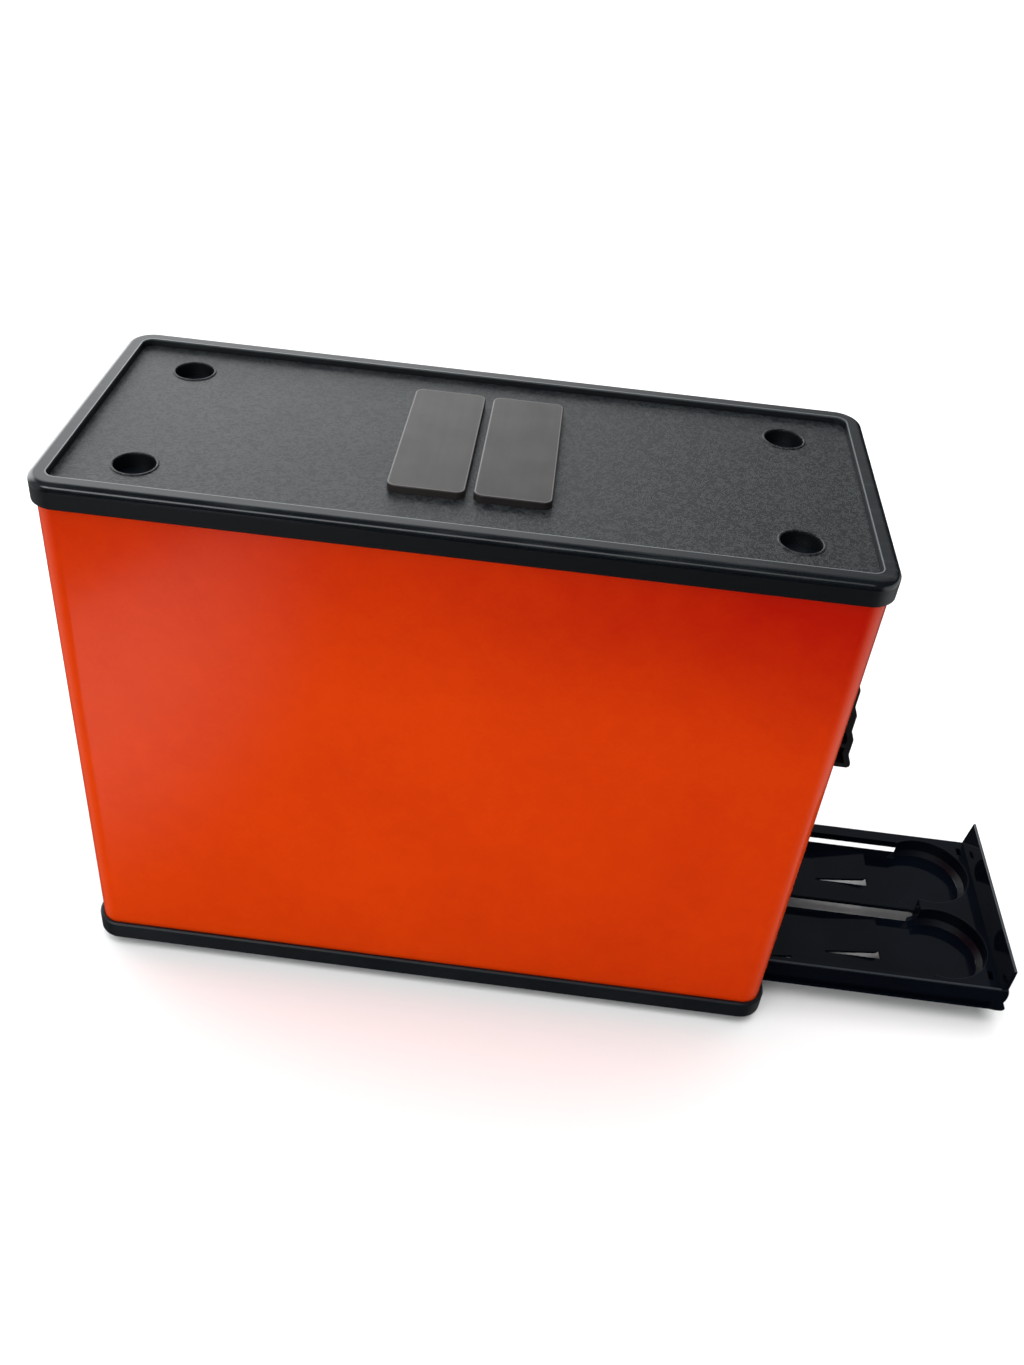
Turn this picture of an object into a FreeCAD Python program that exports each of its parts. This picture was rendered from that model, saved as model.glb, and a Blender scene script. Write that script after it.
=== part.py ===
"""Coffee capsule stand: a sheet-steel sleeve between a moulded lid and base, with upright capsule
columns inside and a drawer that brings out two capsules at a time.

Millimetres. X runs along the stand with the drawer's way out at +X, Z is up, and the origin is on
the surface under the feet, at the centre of the four feet. Left is +Y. The drawer is drawn out.
"""
import math
import os
import FreeCAD
import Part

# Overall size and the feet
unit_length = 285.0
unit_width = 122.0
unit_height = 225.0
corner_radius = 10.0
foot_height = 4.0
foot_radius = 6.7
foot_stem_radius = 2.5
foot_stem_rise = 1.5
foot_inset_x = 30.5
foot_inset_y = 24.3

# Fits
slip_gap = 0.3
press_gap = 0.1
screw_gap = 0.1

# The capsule that the columns, lanes and pockets are made for, and the room round its flange
capsule_radius = 18.5
column_room = 0.35
centre_room = 0.3
guide_room = 0.5
pocket_room = 0.9

# Base
base_height = 9.0
base_floor = 2.4
base_bottom_edge = 1.0
base_top_edge = 0.6
groove_floor_lift = 1.0
upstand_height = 3.2
upstand_wall = 1.5
base_rib_height = 2.4
base_rib_wall = 1.4
base_rib_y = 22.0
base_rib_spacing_x = 76.0
drawer_notch_clearance = 0.6

# Sleeve
sleeve_inset = 1.8
sheet = 0.8
mouth_side_gap = 1.4
mouth_head_room = 13.4
mouth_corner_radius = 6.0
tab_width = 14.0
tab_x = 60.0

# Lid
lid_height = 9.5
lid_top_edge = 2.4
lid_skirt_edge = 0.5
lid_rim_width = 6.0
lid_rim_thickness = 3.5
lid_panel_recess = 2.8
lid_panel_thickness = 2.4
lid_rib_depth = 12.5
lid_rib_wall = 1.5
lid_stiffener_wall = 1.4
lid_stiffener_depth = 3.3
lid_stiffener_y = 22.0
lid_stiffener_spacing_x = 68.0
socket_clearance = 0.5
socket_depth = 5.0
socket_wall = 1.6

# Capsule columns
column_entry_height = 24.2
guide_tray_gap = 0.7
guide_wall = 2.4
guide_flange = 1.6
guide_rib_wall = 1.6
guide_groove_depth = 0.9
divider_thickness = 1.6
centre_thickness = 2.4
centre_rib_height = 1.6
centre_rib_width = 6.0
hopper_thickness = 1.8
hopper_gap = 3.2
peg_length = 6.0
peg_width = 2.4
peg_depth = 1.6

# Drawer tray
drawer_travel = 99.8
front_gap = 0.8
tray_base_gap = 0.5
tray_height = 13.2
tray_flange = 1.2
tray_groove_height = 3.8
beam_gap = 0.3
beam_width = 2.6
tray_edge = 0.6
lip_cover = 2.2
lip_height = 3.5
lane_floor_height = 4.5
lane_floor = 1.8
lane_flat_inset = 5.0
lane_ramp = 2.6
lane_ledge_lift = 2.3
web_thickness = 1.0
tie_width = 7.0
tray_wall = 2.0
deck_thickness = 2.0
deck_length = 27.3
pocket_seat = 1.5
pocket_setback = 21.3
pocket_wall = 1.8
slot_end_taper = 2.7
deck_slot_length = 4.4
deck_slot_width = 2.0
deck_slot_edge = 5.0
lug_length = 3.0
lug_setback = 1.3

# Spring flaps in the lane floors
flap_length = 23.3
flap_first_gap = 25.7
flap_thickness = 1.2
flap_rise = 3.5
flap_near_reach = 5.0
flap_slot = 0.9
flap_corner = 3.0

# Drawer front
front_drop = 0.3
front_height = 25.8
front_thickness = 2.7
front_lean = 1.5
front_bead_reach = 1.1
front_bead_drop = 2.8
front_bead_half = 3.6
front_waist_reach = 0.6
front_waist_height = 5.4
front_lip_reach = 2.4
front_lip_radius = 1.8
front_screw_setback = 6.9
front_screw_height = 6.9

# Runners
runner_flange = 1.6
runner_web = 1.6
runner_side_gap = 0.5
runner_end_gap = 0.3
runner_screw_x = 90.0

# Check springs
spring_strip = 0.5
spring_lift = 3.0
spring_height = 8.0
spring_end = 6.0
finger_height = 5.0
finger_root = 23.0
finger_tip = 9.0
finger_reach = 6.5
rivet_radius = 1.1
rivet_head_radius = 2.0
rivet_head_height = 0.7
rivet_setback = 27.5
rivet_count = 3

# Front grip
grip_half_width = 22.0
grip_bottom = 115.6
grip_reach = 15.6
grip_step = 1.7
grip_run = 7.9
grip_slope = 3.95
grip_foot_run = 2.4
grip_waves = 4
grip_skin = 2.4
grip_back = 2.0
grip_rib = 1.9
grip_first_rib = 9.8
grip_core_half = 6.0
grip_edge = 1.4
grip_step_round = 4.0

# Screws and pins, drawn as bars with flat sides
pin_flats = 8
screw_radius = 1.2
screw_head_radius = 2.2
screw_head_height = 1.4
screw_bite = 0.6
grip_screw_bite = 7.0
front_screw_bite = 2.4

# How far the shapes that are cut away run past the faces that they open
overcut = 1.0

# Outer shells, worked out from the sizes above
foot_x = unit_length / 2 - foot_inset_x
foot_y = unit_width / 2 - foot_inset_y
base_floor_top = foot_height + base_floor
base_top = foot_height + base_height
groove_floor = base_floor_top + groove_floor_lift
upstand_top = base_floor_top + upstand_height
sleeve_x = unit_length / 2 - sleeve_inset
sleeve_y = unit_width / 2 - sleeve_inset
sleeve_radius = corner_radius - sleeve_inset
sleeve_inner_x = sleeve_x - sheet
sleeve_inner_y = sleeve_y - sheet
sleeve_inner_radius = sleeve_radius - sheet
sleeve_top = unit_height - lid_rim_thickness
inner_x = sleeve_inner_x - slip_gap
inner_y = sleeve_inner_y - slip_gap
inner_radius = sleeve_inner_radius - slip_gap
lid_bottom = unit_height - lid_height
panel_top = unit_height - lid_panel_recess
panel_bottom = panel_top - lid_panel_thickness
socket_radius = foot_radius + socket_clearance

# Columns and lanes, from the capsule's flange out
column_pitch = 2 * (capsule_radius + column_room) + divider_thickness
lane_offset = centre_thickness / 2 + centre_rib_height + centre_room + capsule_radius
guide_inner_y = lane_offset + capsule_radius + guide_room
guide_outer_y = guide_inner_y + guide_wall
pocket_radius = capsule_radius + pocket_room
pocket_floor_radius = capsule_radius - pocket_seat
beam_inner_y = lane_offset + pocket_radius + beam_gap
tray_half_width = beam_inner_y + beam_width
front_screw_y = tray_half_width - front_screw_setback
web_outer_y = beam_inner_y + web_thickness
lip_inner_y = lane_offset + capsule_radius - lip_cover

# Heights of the drawer and the columns
tray_bottom = upstand_top + tray_base_gap
tray_top = tray_bottom + tray_height
channel_bottom = tray_bottom + tray_flange
channel_top = channel_bottom + tray_groove_height
lane_floor_top = tray_bottom + lane_floor_height
ledge_top = lane_floor_top + lane_ledge_lift
front_bottom = tray_bottom - front_drop
front_top = front_bottom + front_height
front_screw_z = tray_bottom + front_screw_height
mouth_top = front_top + mouth_head_room
guide_bottom = tray_top + guide_tray_gap
column_bottom = guide_bottom + column_entry_height
column_top = sleeve_top - lid_rib_depth - hopper_gap - hopper_thickness
half_height = (column_bottom + column_top) / 2
spring_bottom = guide_bottom + spring_lift
spring_z = spring_bottom + spring_height / 2
grip_top = grip_bottom + grip_foot_run + grip_waves * (grip_run + grip_slope) + grip_slope
grip_screw_z = [grip_bottom + grip_run, grip_top - grip_run]

# Places along the stand, with the drawer out
front_x = sleeve_x + front_gap + drawer_travel
tray_rear_x = runner_end_gap - sleeve_inner_x + drawer_travel
tongue_rear = tray_rear_x + tray_wall + lug_setback + lug_length + slip_gap
pocket_x = front_x - pocket_setback
slot_end_x = pocket_x - math.sqrt(pocket_radius**2 - (lip_inner_y - lane_offset) ** 2)
first_column_x = pocket_x - drawer_travel
column_count = int((first_column_x + column_pitch / 2 + inner_x) / column_pitch)
column_x = [first_column_x - column_pitch * k for k in range(column_count)]
divider_x = [x - column_pitch / 2 for x in column_x]
first_flap_tip = pocket_x - flap_first_gap
flap_tips = [first_flap_tip - column_pitch * k for k in range(column_count - 1)]

# Runners and tabs, in the room between the tray and the sleeve
runner_y = tray_half_width + runner_side_gap
runner_web_y = runner_y + runner_web
runner_end_x = inner_x - upstand_wall - runner_end_gap
tab_inner_y = (runner_web_y + sleeve_y) / 2
pad_inner_y = tab_inner_y - slip_gap
runner_foot_y = pad_inner_y - slip_gap
runner_screw_y = (runner_web_y + runner_foot_y) / 2
tab_screw_y = (tab_inner_y + sleeve_inner_y) / 2
screw_hole_radius = screw_radius + screw_gap
rivet_hole_radius = rivet_radius + press_gap


def box(x0, x1, y0, y1, z0, z1):
    return Part.makeBox(x1 - x0, y1 - y0, z1 - z0, FreeCAD.Vector(x0, y0, z0))


def rod(x, y, z0, z1, radius):
    return Part.makeCylinder(radius, z1 - z0, FreeCAD.Vector(x, y, z0))


def pin(start, way, radius):
    """A small bar, or the hole for one, with flat sides, from the point start along the vector way."""
    turn = FreeCAD.Rotation(FreeCAD.Vector(0, 0, 1), way)
    corners = []
    for k in range(pin_flats):
        angle = 2 * math.pi * (k + 0.5) / pin_flats
        offset = FreeCAD.Vector(radius * math.cos(angle), radius * math.sin(angle), 0)
        corners.append(start + turn.multVec(offset))
    return Part.Face(Part.makePolygon(corners + corners[:1])).extrude(way)


def pin_x(x0, x1, y, z, radius):
    return pin(FreeCAD.Vector(x0, y, z), FreeCAD.Vector(x1 - x0, 0, 0), radius)


def pin_y(y0, y1, x, z, radius):
    return pin(FreeCAD.Vector(x, y0, z), FreeCAD.Vector(0, y1 - y0, 0), radius)


def pin_z(z0, z1, x, y, radius):
    return pin(FreeCAD.Vector(x, y, z0), FreeCAD.Vector(0, 0, z1 - z0), radius)


def slab(half_x, half_y, radius, z0, z1):
    """A plate centred on the Z axis with four rounded corners."""
    plate = box(-half_x, half_x, -half_y, half_y, z0, z1)
    corners = [e for e in plate.Edges if abs(e.tangentAt(e.FirstParameter).z) > 0.9]
    return plate.makeFillet(radius, corners)


def face_of(points):
    loop = [FreeCAD.Vector(*p) for p in points]
    return Part.Face(Part.makePolygon(loop + loop[:1]))


def along_x(outline_yz, x0, x1):
    return face_of([(x0, y, z) for y, z in outline_yz]).extrude(FreeCAD.Vector(x1 - x0, 0, 0))


def along_y(outline_xz, y0, y1):
    return face_of([(x, y0, z) for x, z in outline_xz]).extrude(FreeCAD.Vector(0, y1 - y0, 0))


def along_z(outline_xy, z0, z1):
    return face_of([(x, y, z0) for x, y in outline_xy]).extrude(FreeCAD.Vector(0, 0, z1 - z0))


def turned(outline_rz, x, y):
    """A solid of revolution about the upright axis through (x, y)."""
    section = face_of([(r, 0, z) for r, z in outline_rz])
    solid = section.revolve(FreeCAD.Vector(0, 0, 0), FreeCAD.Vector(0, 0, 1), 360)
    return solid.translated(FreeCAD.Vector(x, y, 0))


def fused(shapes):
    return shapes[0].fuse(shapes[1:]).removeSplitter()


def other_side(shape):
    """The same piece on the right-hand side (-Y)."""
    return shape.mirror(FreeCAD.Vector(0, 0, 0), FreeCAD.Vector(0, 1, 0))


def ring_edges(shape, z, outward):
    """Edges of the closed outline at height z that lie within reach of the outer side."""
    found = []
    for edge in shape.Edges:
        low = edge.BoundBox
        flat = abs(low.ZMin - z) < 1e-4 and abs(low.ZMax - z) < 1e-4
        far = max(abs(low.XMax), abs(low.XMin)) / outward[0]
        wide = max(abs(low.YMax), abs(low.YMin)) / outward[1]
        if flat and max(far, wide) > 1 - 1e-6:
            found.append(edge)
    return found


def foot_places():
    return {
        "foot_front_left": (foot_x, foot_y),
        "foot_front_right": (foot_x, -foot_y),
        "foot_rear_left": (-foot_x, foot_y),
        "foot_rear_right": (-foot_x, -foot_y),
    }


def foot(x, y):
    """Rubber disc with a stem that is pressed up through the base."""
    stem = pin_z(foot_height, base_floor_top + foot_stem_rise, x, y, foot_stem_radius)
    return rod(x, y, 0, foot_height, foot_radius).fuse(stem)


def both_sides(places):
    return [(x, side * y) for x, y in places for side in (1, -1)]


def runner_screw_places():
    return both_sides([(-runner_screw_x, runner_screw_y), (runner_screw_x, runner_screw_y)])


def tab_screw_places():
    return both_sides([(-tab_x, tab_screw_y), (tab_x, tab_screw_y)])


def base():
    """Moulded base: outer rim, groove for the sleeve, inner upstand and low ribs on the floor."""
    outward = (unit_length / 2, unit_width / 2)
    body = slab(*outward, corner_radius, foot_height, base_top)
    body = body.makeChamfer(base_bottom_edge, ring_edges(body, foot_height, outward))
    body = body.makeChamfer(base_top_edge, ring_edges(body, base_top, outward))
    groove_x = sleeve_x + slip_gap
    groove_y = sleeve_y + slip_gap
    body = body.cut(slab(groove_x, groove_y, sleeve_radius + slip_gap, groove_floor, base_top + overcut))
    well_x = inner_x - upstand_wall
    well_y = inner_y - upstand_wall
    well = slab(well_x, well_y, inner_radius - upstand_wall, base_floor_top, base_top)
    upstand = slab(inner_x, inner_y, inner_radius, groove_floor, upstand_top)
    body = body.fuse(upstand).cut(well)
    rib_top = base_floor_top + base_rib_height
    rib_end_x = inner_x - upstand_wall / 2
    half = base_rib_wall / 2
    ribs = []
    for y in (-base_rib_y, base_rib_y):
        ribs.append(box(-rib_end_x, rib_end_x, y - half, y + half, base_floor_top, rib_top))
    for k in (-1, 0, 1):
        x = k * base_rib_spacing_x
        ribs.append(box(x - half, x + half, -tray_half_width, tray_half_width, base_floor_top, rib_top))
    body = body.fuse(ribs)
    for x in (-tab_x, tab_x):
        half = tab_width / 2 + slip_gap
        for y0, y1 in ((pad_inner_y, inner_y), (-inner_y, -pad_inner_y)):
            body = body.cut(box(x - half, x + half, y0, y1, groove_floor, base_top))
            body = body.fuse(box(x - half, x + half, y0, y1, base_floor_top, groove_floor))
    notch_y = tray_half_width + mouth_side_gap
    notch_z = front_bottom - drawer_notch_clearance
    notch_x = inner_x - 2 * upstand_wall
    body = body.cut(box(notch_x, unit_length, -notch_y, notch_y, notch_z, base_top + overcut))
    for x, y in foot_places().values():
        body = body.cut(pin_z(0, base_floor_top + overcut, x, y, foot_stem_radius + press_gap))
    for x, y in runner_screw_places() + tab_screw_places():
        body = body.cut(pin_z(0, groove_floor + overcut, x, y, screw_hole_radius))
    return body.removeSplitter()


def base_screws():
    """Screws that come up from below through the base, with their heads in the room that the feet give."""
    places = [(x, y, base_floor_top + runner_flange) for x, y in runner_screw_places()]
    places += [(x, y, groove_floor + sheet) for x, y in tab_screw_places()]
    screws = []
    for x, y, held_top in places:
        head = pin_z(foot_height - screw_head_height, foot_height, x, y, screw_head_radius)
        screws.append(head.fuse(pin_z(foot_height, held_top + screw_bite, x, y, screw_radius)))
    return Part.makeCompound(screws)


def sleeve():
    """Painted sheet-steel tube with the drawer mouth in its front face and four tabs at its foot."""
    outside = slab(sleeve_x, sleeve_y, sleeve_radius, groove_floor, sleeve_top)
    low = groove_floor - overcut
    inside = slab(sleeve_inner_x, sleeve_inner_y, sleeve_inner_radius, low, sleeve_top + overcut)
    tube = outside.cut(inside)
    mouth_y = tray_half_width + mouth_side_gap
    mouth = box(inner_x - upstand_wall, sleeve_x + overcut, -mouth_y, mouth_y, low, mouth_top)
    top_corners = []
    for edge in mouth.Edges:
        place = edge.BoundBox
        if place.XLength > sheet and abs(place.ZMin - mouth_top) < 1e-6:
            top_corners.append(edge)
    tube = tube.cut(mouth.makeFillet(mouth_corner_radius, top_corners))
    for z in grip_screw_z:
        tube = tube.cut(pin_x(inner_x, sleeve_x + overcut, 0, z, screw_hole_radius))
    tabs = []
    for x, y in tab_screw_places():
        y0, y1 = sorted((math.copysign(tab_inner_y, y), math.copysign(sleeve_y, y)))
        tab = box(x - tab_width / 2, x + tab_width / 2, y0, y1, groove_floor, groove_floor + sheet)
        tabs.append(tab.cut(pin_z(low, groove_floor + sheet + overcut, x, y, screw_hole_radius)))
    return tube.fuse(tabs).removeSplitter()


def lid():
    """Moulded lid: skirt outside the sleeve, locating rib inside it, recessed panel, four sockets."""
    outward = (unit_length / 2, unit_width / 2)
    body = slab(*outward, corner_radius, lid_bottom, unit_height)
    body = body.makeFillet(lid_top_edge, ring_edges(body, unit_height, outward))
    body = body.makeChamfer(lid_skirt_edge, ring_edges(body, lid_bottom, outward))
    body = body.cut(slab(sleeve_x + slip_gap, sleeve_y + slip_gap, sleeve_radius + slip_gap, 0, sleeve_top))
    rib = slab(inner_x, inner_y, inner_radius, sleeve_top - lid_rib_depth, panel_top)
    body = body.fuse(rib)
    under = slab(inner_x - lid_rib_wall, inner_y - lid_rib_wall, inner_radius - lid_rib_wall, 0, panel_bottom)
    body = body.cut(under)
    dish = slab(
        unit_length / 2 - lid_rim_width,
        unit_width / 2 - lid_rim_width,
        corner_radius - lid_rim_width,
        panel_top,
        unit_height + overcut,
    )
    body = body.cut(dish)
    low = panel_bottom - lid_stiffener_depth
    half = lid_stiffener_wall / 2
    end_x = inner_x - lid_rib_wall / 2
    end_y = inner_y - lid_rib_wall / 2
    added = []
    for y in (-lid_stiffener_y, lid_stiffener_y):
        added.append(box(-end_x, end_x, y - half, y + half, low, panel_bottom))
    for k in (-1, 0, 1):
        x = k * lid_stiffener_spacing_x
        added.append(box(x - half, x + half, -end_y, end_y, low, panel_bottom))
    socket_floor = panel_top - socket_depth
    cup_corner = (socket_radius + socket_wall) / math.cos(math.pi / pin_flats)
    for x, y in foot_places().values():
        added.append(pin_z(socket_floor - socket_wall, panel_top, x, y, cup_corner))
    body = body.fuse(added)
    for x, y in foot_places().values():
        body = body.cut(rod(x, y, socket_floor, unit_height, socket_radius))
    return body.removeSplitter()


def lane_outline(centre, grow):
    """Cross-section of a lane floor in YZ: flat, two ramps, and a ledge on the side towards -Y."""
    flat = capsule_radius - lane_flat_inset
    ramp = flat + lane_ramp
    ledge = beam_inner_y - lane_offset + grow
    top = [
        (-ledge, ledge_top),
        (-ramp, ledge_top),
        (-flat, lane_floor_top),
        (flat, lane_floor_top),
        (ramp, ledge_top),
    ]
    under = [(y, z - lane_floor) for y, z in reversed(top)]
    return [(centre + y, z) for y, z in top + under]


def pocket_outline():
    """Cross-section of a pocket from its axis out: dish with a cone ramp inside a round wall."""
    outer = pocket_radius + pocket_wall
    under = lane_floor_top - lane_floor
    return [
        (0, under),
        (pocket_floor_radius + pocket_wall / 2, under),
        (outer, ledge_top - lane_floor),
        (outer, tray_top),
        (pocket_radius, tray_top),
        (pocket_radius, ledge_top),
        (pocket_floor_radius, lane_floor_top),
        (0, lane_floor_top),
    ]


def pocket_void(y):
    outline = [
        (0, lane_floor_top),
        (pocket_floor_radius, lane_floor_top),
        (pocket_radius, ledge_top),
        (pocket_radius, tray_top + overcut),
        (0, tray_top + overcut),
    ]
    return turned(outline, pocket_x, y)


def flap_parts(centre, tip_x, mirrored):
    """The window cut in a lane floor and the sprung flap in it, rising towards its free tip."""
    root_x = tip_x - flap_length
    wide, narrow = capsule_radius - lane_flat_inset, flap_near_reach
    y0, y1 = (-wide, narrow) if mirrored else (-narrow, wide)
    window = box(
        root_x,
        tip_x + flap_slot,
        centre + y0 - (0 if mirrored else flap_slot),
        centre + y1 + (flap_slot if mirrored else 0),
        lane_floor_top - lane_floor - overcut,
        lane_floor_top + overcut,
    )
    top, low = lane_floor_top, lane_floor_top - flap_thickness
    side = [
        (root_x - overcut, low),
        (root_x, low),
        (tip_x, low + flap_rise),
        (tip_x, top + flap_rise),
        (root_x, top),
        (root_x - overcut, top),
    ]
    flap = along_y(side, centre + y0, centre + y1)
    corner_y = centre + (y1 if mirrored else y0)
    upright = []
    for edge in flap.Edges:
        low_box = edge.BoundBox
        at_tip = abs(low_box.XMin - tip_x) < 1e-6 and abs(low_box.XMax - tip_x) < 1e-6
        if at_tip and low_box.YLength < 1e-6 and abs(low_box.YMin - corner_y) < 1e-6:
            upright.append(edge)
    return window, flap.makeFillet(flap_corner, upright)


def tray_beam(side):
    """Edge beam over the runner groove, with the flange under it; the left beam has the lip."""
    inner, outer = beam_inner_y, tray_half_width
    if side > 0:
        section = [
            (lip_inner_y, tray_top - lip_height),
            (inner, tray_top - lip_height),
            (inner, ledge_top),
            (outer, channel_top),
            (outer, tray_top),
            (lip_inner_y, tray_top),
        ]
    else:
        section = [(-outer, channel_top), (-inner, channel_top), (-inner, tray_top), (-outer, tray_top)]
    beam = along_x(section, tray_rear_x, front_x)
    y0, y1 = sorted((side * inner, side * outer))
    flange = box(tray_rear_x, front_x, y0, y1, tray_bottom, channel_bottom)
    return [beam, flange]


def tray_edge_strip():
    """What the rounding takes off the top left edge of the tray, along its whole length."""
    outer, top = tray_half_width, tray_top
    bend = tray_edge * (1 - math.cos(math.pi / 4))

    def at(y, z):
        return FreeCAD.Vector(tray_rear_x, y, z)

    low, high = at(outer, top - tray_edge), at(outer - tray_edge, top)
    edges = [
        Part.Arc(low, at(outer - bend, top - bend), high).toShape(),
        Part.makeLine(high, at(outer - tray_edge, top + overcut)),
        Part.makeLine(at(outer - tray_edge, top + overcut), at(outer + overcut, top + overcut)),
        Part.makeLine(at(outer + overcut, top + overcut), at(outer + overcut, top - tray_edge)),
        Part.makeLine(at(outer + overcut, top - tray_edge), low),
    ]
    return Part.Face(Part.Wire(edges)).extrude(FreeCAD.Vector(front_x - tray_rear_x, 0, 0))


def slot_end():
    """The slanted end of the slot between the left lane's floor and the beam, open up to the lip."""
    y0, y1 = lane_offset + capsule_radius - lane_flat_inset + lane_ramp, beam_inner_y
    outline = [
        (slot_end_x - overcut, y0),
        (slot_end_x, y0),
        (slot_end_x + slot_end_taper, y1),
        (slot_end_x - overcut, y1),
    ]
    return along_z(outline, tray_bottom, tray_top - lip_height)


def deck_slot():
    """The small slot through the deck near its left end, beside the front wall."""
    x1 = front_x - tray_wall - slip_gap
    y1 = tray_half_width - deck_slot_edge
    return box(
        x1 - deck_slot_width,
        x1,
        y1 - deck_slot_length,
        y1,
        tray_top - deck_thickness - overcut,
        tray_top + overcut,
    )


def drawer_tray():
    """Moulded drawer tray: two keyhole lanes with spring flaps, between beams with runner grooves."""
    deck_x = front_x - deck_length
    body = tray_beam(1) + tray_beam(-1)
    body.append(along_x(lane_outline(lane_offset, 0), tray_rear_x, pocket_x))
    body.append(along_x(lane_outline(-lane_offset, beam_width / 2), tray_rear_x, pocket_x))
    y0, y1 = -web_outer_y, -beam_inner_y
    body.append(box(tray_rear_x, front_x, y0, y1, tray_bottom, channel_top))
    body.append(box(deck_x, front_x, beam_inner_y, web_outer_y, tray_bottom, ledge_top))

    deck_bottom = tray_top - deck_thickness
    body.append(box(deck_x, front_x, -tray_half_width, tray_half_width, deck_bottom, tray_top))
    body.append(box(front_x - tray_wall, front_x, -tray_half_width, tray_half_width, tray_bottom, tray_top))
    lane_bottom = lane_floor_top - lane_floor
    body.append(box(deck_x, deck_x + tray_wall, -lane_offset, lane_offset, lane_bottom, tray_top))
    for centre in (lane_offset, -lane_offset):
        cup = turned(pocket_outline(), pocket_x, centre)
        keep = box(slot_end_x, front_x, -tray_half_width, tray_half_width, 0, ledge_top)
        keep = keep.fuse(box(deck_x, front_x, -tray_half_width, tray_half_width, 0, tray_top))
        if centre > 0:
            keep = keep.fuse(box(slot_end_x, front_x, lip_inner_y, tray_half_width, 0, tray_top))
        body.append(cup.common(keep))

    rear_wall_x = tray_rear_x + tray_wall
    body.append(box(tray_rear_x, rear_wall_x, -tray_half_width, tray_half_width, tray_bottom, tray_top))
    tie_gap = (column_pitch - flap_length - tie_width) / 2
    ties = [tip + tie_gap + tie_width / 2 for tip in flap_tips[2::2]]
    ties.append(tray_rear_x + tie_width / 2)
    for x in ties:
        x0, x1 = x - tie_width / 2, x + tie_width / 2
        body.append(box(x0, x1, -web_outer_y, web_outer_y, tray_bottom, lane_bottom))
        body.append(box(x0, x1, beam_inner_y, web_outer_y, tray_bottom, ledge_top))
    for side in (1, -1):
        tip = tongue_rear - slip_gap
        y0, y1 = sorted((side * beam_inner_y, side * tray_half_width))
        body.append(box(tip - lug_length, tip, y0, y1, tray_bottom, channel_top + press_gap))
    tray = fused(body)

    for centre in (lane_offset, -lane_offset):
        tray = tray.cut(pocket_void(centre))
        lane_void = lane_outline(centre, 0)[1:5]
        tray = tray.cut(along_x(lane_void, slot_end_x, pocket_x))
        for k, tip in enumerate(flap_tips):
            window, flap = flap_parts(centre, tip, k % 2 == 1)
            tray = tray.cut(window).fuse(flap)
    front_wall_x = front_x - tray_wall
    groove = box(rear_wall_x, front_wall_x, web_outer_y, unit_width, channel_bottom, channel_top)
    stops = box(tongue_rear - slip_gap - lug_length, tongue_rear - slip_gap, 0, unit_width, 0, unit_height)
    groove = groove.cut(stops)
    tray = tray.cut([groove, other_side(groove)])
    tray = tray.cut([tray_edge_strip(), other_side(tray_edge_strip())])
    tray = tray.cut([deck_slot(), other_side(deck_slot()), slot_end()])
    for y in front_screw_places():
        tray = tray.cut(pin_x(front_wall_x - overcut, front_x + overcut, y, front_screw_z, screw_hole_radius))
    return tray.removeSplitter()


def front_screw_places():
    return (-front_screw_y, 0.0, front_screw_y)


def drawer_front():
    """Front plate of the drawer: leaning rear face, a bead at deck height and a finger lip below."""
    face_x = front_x + front_thickness
    top_x = front_x + front_lean
    round_r = (face_x - top_x) / 2
    bead_z = tray_top - front_bead_drop
    lip_x = face_x + front_lip_reach
    bend = front_lip_radius * (1 - math.cos(math.pi / 4))

    def at(x, z):
        return FreeCAD.Vector(x, -tray_half_width, z)

    bead_top = at(face_x, bead_z + front_bead_half)
    waist = at(face_x + front_waist_reach, front_bottom + front_waist_height)
    lip_tip = at(lip_x, front_bottom + front_lip_radius)
    lip_foot = at(lip_x - front_lip_radius, front_bottom)
    edges = [
        Part.makeLine(at(front_x, front_bottom), at(front_x, tray_top)),
        Part.makeLine(at(front_x, tray_top), at(top_x, front_top - round_r)),
        Part.Arc(
            at(top_x, front_top - round_r), at(top_x + round_r, front_top), at(face_x, front_top - round_r)
        ).toShape(),
        Part.makeLine(at(face_x, front_top - round_r), bead_top),
        Part.Arc(bead_top, at(face_x + front_bead_reach, bead_z), waist).toShape(),
        Part.makeLine(waist, lip_tip),
        Part.Arc(lip_tip, at(lip_x - bend, front_bottom + bend), lip_foot).toShape(),
        Part.makeLine(lip_foot, at(front_x, front_bottom)),
    ]
    plate = Part.Face(Part.Wire(edges)).extrude(FreeCAD.Vector(0, 2 * tray_half_width, 0))
    depth = front_screw_bite + screw_gap
    for y in front_screw_places():
        plate = plate.cut(pin_x(front_x - overcut, front_x + depth, y, front_screw_z, screw_hole_radius))
    return plate


def cross_screw(x, y, z, length):
    """A pan-head screw along X with its head seated at x and its shank pointing to +X."""
    head = pin_x(x - screw_head_height, x, y, z, screw_head_radius)
    return head.fuse(pin_x(x, x + length, y, z, screw_radius)).removeSplitter()


def drawer_front_screws():
    x = front_x - tray_wall
    length = tray_wall + front_screw_bite
    return Part.makeCompound([cross_screw(x, y, front_screw_z, length) for y in front_screw_places()])


def grip_screws():
    length = sheet + grip_screw_bite
    return Part.makeCompound([cross_screw(sleeve_inner_x, 0, z, length) for z in grip_screw_z])


def grip_line(inset):
    """Front line of the grip from its foot up: upright runs joined by slopes that step inwards."""
    x = sleeve_x + grip_reach - inset
    z = grip_bottom + grip_foot_run
    points = [(x, grip_bottom), (x, z)]
    for _ in range(grip_waves):
        x -= grip_step
        points.append((x, z + grip_slope))
        z += grip_slope + grip_run
        points.append((x, z))
    return points


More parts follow.
